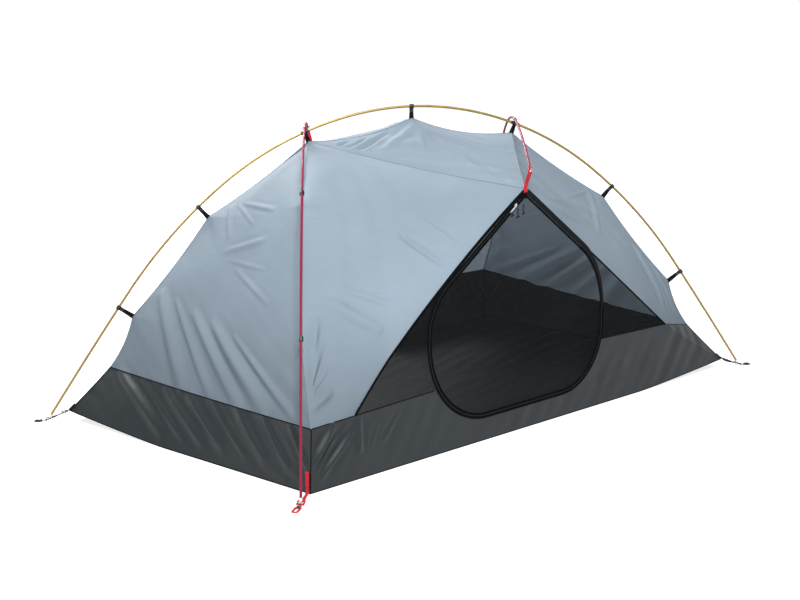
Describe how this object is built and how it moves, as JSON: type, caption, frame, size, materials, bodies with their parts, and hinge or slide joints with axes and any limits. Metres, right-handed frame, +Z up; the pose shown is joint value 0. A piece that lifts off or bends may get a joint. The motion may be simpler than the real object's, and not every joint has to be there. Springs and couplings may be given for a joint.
{
  "type": "dome tent",
  "caption": "Low two-person dome tent on crossed aluminium poles, with a bathtub floor, grey fabric walls and a zipped mesh door in a mesh triangle on each long side.",
  "frame": {"origin": "middle of the floor, on the ground", "axes": "+X along the length of the floor, -Y out of the front door, +Z up"},
  "size_m": [2.4816, 1.4082, 1.0429],
  "materials": {
    "gold_aluminium": "gold anodised tube",
    "red_aluminium": "red anodised tube",
    "bare_aluminium": "bare drawn tube",
    "pole_tip": "turned, satin",
    "shock_cord": "braided elastic cord",
    "black_plastic": "moulded, fine grain",
    "steel": "plated",
    "zip_metal": "cast and plated",
    "black_webbing": "woven tape",
    "red_webbing": "woven tape",
    "charcoal_nylon": "coated ripstop nylon",
    "grey_nylon": "light ripstop nylon",
    "black_mesh": "fine insect mesh",
    "black_zip": "coil zip on tape"
  },
  "bodies": {
    "tent": {"back_corner_panel": "grey_nylon", "back_mesh": "black_mesh", "back_roof_panel": "grey_nylon", "back_side_panel": "grey_nylon", "back_tub_wall": "charcoal_nylon", "black_corner_straps": "black_webbing", "brow_straps": "red_webbing", "door_tapes": "black_webbing", "door_ties": "black_plastic", "floor": "charcoal_nylon", "front_corner_panel": "grey_nylon", "front_mesh": "black_mesh", "front_roof_panel": "grey_nylon", "front_side_panel": "grey_nylon", "front_tub_wall": "charcoal_nylon", "gold_pole_1": "gold_aluminium", "gold_pole_2": "gold_aluminium", "gold_pole_3": "gold_aluminium", "gold_pole_4": "gold_aluminium", "gold_pole_5": "gold_aluminium", "gold_pole_6": "gold_aluminium", "gold_pole_7": "gold_aluminium", "gold_pole_hooks": "black_plastic", "gold_pole_tips": "pole_tip", "gold_shock_cord": "shock_cord", "grommets": "steel", "hook_tapes": "black_webbing", "hub_pins": "steel", "hub_sleeves": "black_plastic", "left_end_wall": "grey_nylon", "left_tub_wall": "charcoal_nylon", "pole_ferrules": "bare_aluminium", "red_corner_straps": "red_webbing", "red_pole_hooks": "black_plastic", "red_pole_left_1": "red_aluminium", "red_pole_left_2": "red_aluminium", "red_pole_left_3": "red_aluminium", "red_pole_left_4": "red_aluminium", "red_pole_right_1": "red_aluminium", "red_pole_right_2": "red_aluminium", "red_pole_right_3": "red_aluminium", "red_pole_right_4": "red_aluminium", "red_pole_tips": "pole_tip", "red_shock_cords": "shock_cord", "right_end_wall": "grey_nylon", "right_tub_wall": "charcoal_nylon", "strap_adjusters": "black_plastic", "zip_wall_halves": "black_zip"},
    "front_door": {"front_door": "black_mesh", "front_zip_door_half": "black_zip"},
    "back_door": {"back_door": "black_mesh", "back_zip_door_half": "black_zip"},
    "front_slider": {"front_slider": "zip_metal"},
    "back_slider": {"back_slider": "zip_metal"},
    "front_puller": {"front_puller": "zip_metal"},
    "back_puller": {"back_puller": "zip_metal"},
    "front_left_stake_loop": {"front_left_stake_loop": "red_webbing"},
    "front_right_stake_loop": {"front_right_stake_loop": "black_webbing"},
    "back_left_stake_loop": {"back_left_stake_loop": "black_webbing"},
    "back_right_stake_loop": {"back_right_stake_loop": "red_webbing"}
  },
  "joints": [
    {"name": "front_door_swing", "type": "hinge", "parent": "tent", "child": "front_door", "pos_m": [-0.086, -0.603, 0.807], "axis": [-0.8039, 0, 0.5948], "range_deg": [0, 125]},
    {"name": "front_zip_slide", "type": "slide", "parent": "front_door", "child": "front_slider", "axis": [-0.8296, 0, -0.5584], "range_m": [0, 0.36]},
    {"name": "front_puller_swing", "type": "hinge", "parent": "front_slider", "child": "front_puller", "pos_m": [-0.14075, -0.6063, 0.77014], "axis": [-0.5584, 0, 0.8296], "range_deg": [0, 150]},
    {"name": "back_door_swing", "type": "hinge", "parent": "tent", "child": "back_door", "pos_m": [0.086, 0.603, 0.807], "axis": [0.8039, 0, 0.5948], "range_deg": [0, 125]},
    {"name": "back_zip_slide", "type": "slide", "parent": "back_door", "child": "back_slider", "axis": [0.8296, 0, -0.5584], "range_m": [0, 0.36]},
    {"name": "back_puller_swing", "type": "hinge", "parent": "back_slider", "child": "back_puller", "pos_m": [0.14075, 0.6063, 0.77014], "axis": [0.5584, 0, 0.8296], "range_deg": [0, 150]},
    {"name": "back_left_stake_loop_lift", "type": "hinge", "parent": "tent", "child": "back_left_stake_loop", "pos_m": [-1.14542, 0.63931, 0.0018], "axis": [0.4874, 0.8732, 0], "range_deg": [0, 90]},
    {"name": "front_right_stake_loop_lift", "type": "hinge", "parent": "tent", "child": "front_right_stake_loop", "pos_m": [1.14542, -0.63931, 0.0018], "axis": [-0.4874, -0.8732, 0], "range_deg": [0, 90]},
    {"name": "front_left_stake_loop_lift", "type": "hinge", "parent": "tent", "child": "front_left_stake_loop", "pos_m": [-1.17604, -0.66049, 0.0018], "axis": [-0.5137, 0.858, 0], "range_deg": [0, 90]},
    {"name": "back_right_stake_loop_lift", "type": "hinge", "parent": "tent", "child": "back_right_stake_loop", "pos_m": [1.17604, 0.66049, 0.0018], "axis": [0.5137, -0.858, 0], "range_deg": [0, 90]}
  ]
}
